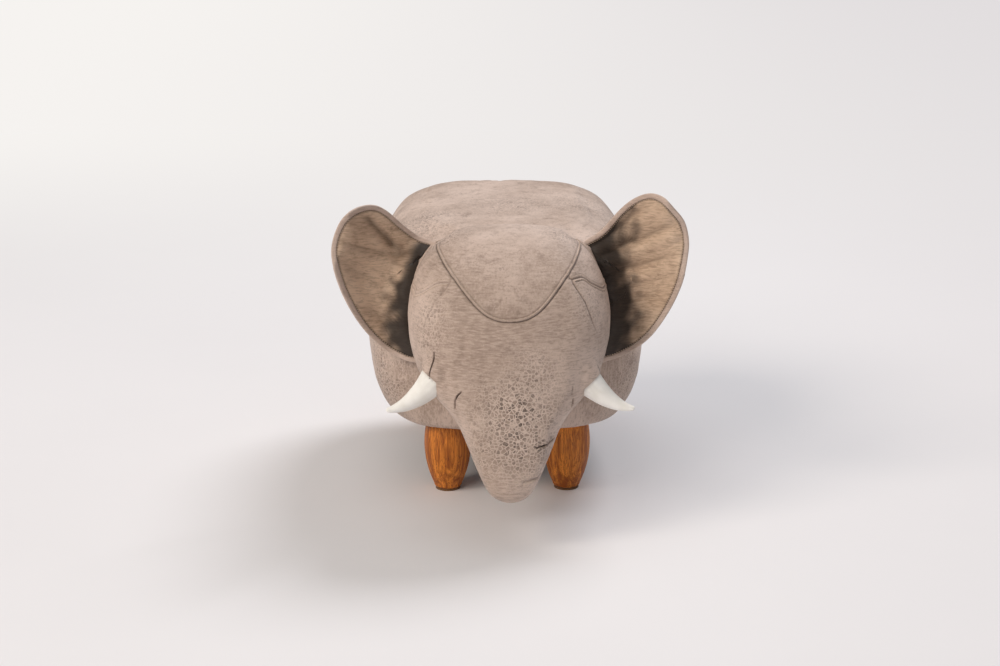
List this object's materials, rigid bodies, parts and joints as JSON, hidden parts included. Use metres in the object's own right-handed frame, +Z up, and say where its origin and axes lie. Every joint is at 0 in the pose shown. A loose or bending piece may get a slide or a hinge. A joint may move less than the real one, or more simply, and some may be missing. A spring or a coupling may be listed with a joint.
{
  "type": "elephant footstool",
  "caption": "Upholstered footstool shaped like an elephant, with a stuffed head and trunk, folding ears, a swinging tail and turned wooden feet.",
  "frame": {"origin": "on the floor, under the middle of the box that holds the whole stool", "axes": "+Z up; the head and trunk look towards -Y, the tail hangs at +Y; the mirror plane is X = 0, with the elephant's own left at +X"},
  "size_m": [0.444, 0.6242, 0.4053],
  "materials": {
    "hide": "distressed faux leather, crackled and matt",
    "ear_lining": "darker faux leather, matt",
    "tusk_cloth": "smooth white cloth",
    "turned_wood": "stained and waxed, vertical grain",
    "plywood": "raw",
    "softwood": "raw, sawn",
    "steel": "zinc plated",
    "felt": "pressed felt",
    "foam": "cut foam",
    "filling": "fibre filling",
    "dust_cloth": "non-woven cloth"
  },
  "bodies": {
    "root": {"base_board": "plywood", "left_panel": "plywood", "right_panel": "plywood", "front_panel": "plywood", "rear_panel": "plywood", "seat_board": "plywood", "front_left_batten": "softwood", "front_right_batten": "softwood", "rear_left_batten": "softwood", "rear_right_batten": "softwood", "frame_screws": "steel", "front_left_foot": "turned_wood", "front_right_foot": "turned_wood", "rear_left_foot": "turned_wood", "rear_right_foot": "turned_wood", "foot_pads": "felt", "foot_bolts": "steel", "t_nuts": "steel", "seat_foam": "foam", "left_foam": "foam", "right_foam": "foam", "front_foam": "foam", "rear_foam": "foam", "chest_cover": "hide", "rump_cover": "hide", "left_side_cover": "hide", "right_side_cover": "hide", "seat_cover": "hide", "left_cheek_cover": "hide", "right_cheek_cover": "hide", "left_temple_cover": "hide", "right_temple_cover": "hide", "trunk_under_cover": "hide", "face_cover": "hide", "head_filling": "filling", "trunk_filling": "filling", "left_tusk_cover": "tusk_cloth", "right_tusk_cover": "tusk_cloth", "left_tusk_filling": "filling", "right_tusk_filling": "filling", "dust_cover": "dust_cloth", "dust_cover_staples": "steel", "tail_tab": "hide"},
    "left_ear": {"left_ear_front": "ear_lining", "left_ear_core": "filling", "left_ear_back": "hide"},
    "right_ear": {"right_ear_front": "ear_lining", "right_ear_core": "filling", "right_ear_back": "hide"},
    "tail": {"tail_cord": "hide", "tail_tuft": "hide"}
  },
  "joints": [
    {"name": "left_ear_fold", "type": "hinge", "parent": "root", "child": "left_ear", "pos_m": [0.128, -0.131, 0.212], "axis": [0.0508, -0.1861, -0.9812], "range_deg": [-10, 35], "stiffness_Nm_per_rad": 0.5},
    {"name": "right_ear_fold", "type": "hinge", "parent": "root", "child": "right_ear", "pos_m": [-0.128, -0.131, 0.212], "axis": [0.0508, 0.1861, 0.9812], "range_deg": [-10, 35], "stiffness_Nm_per_rad": 0.5},
    {"name": "tail_swing", "type": "hinge", "parent": "root", "child": "tail", "pos_m": [0, 0.3013, 0.264], "axis": [0, 1, 0], "range_deg": [-40, 40]}
  ]
}
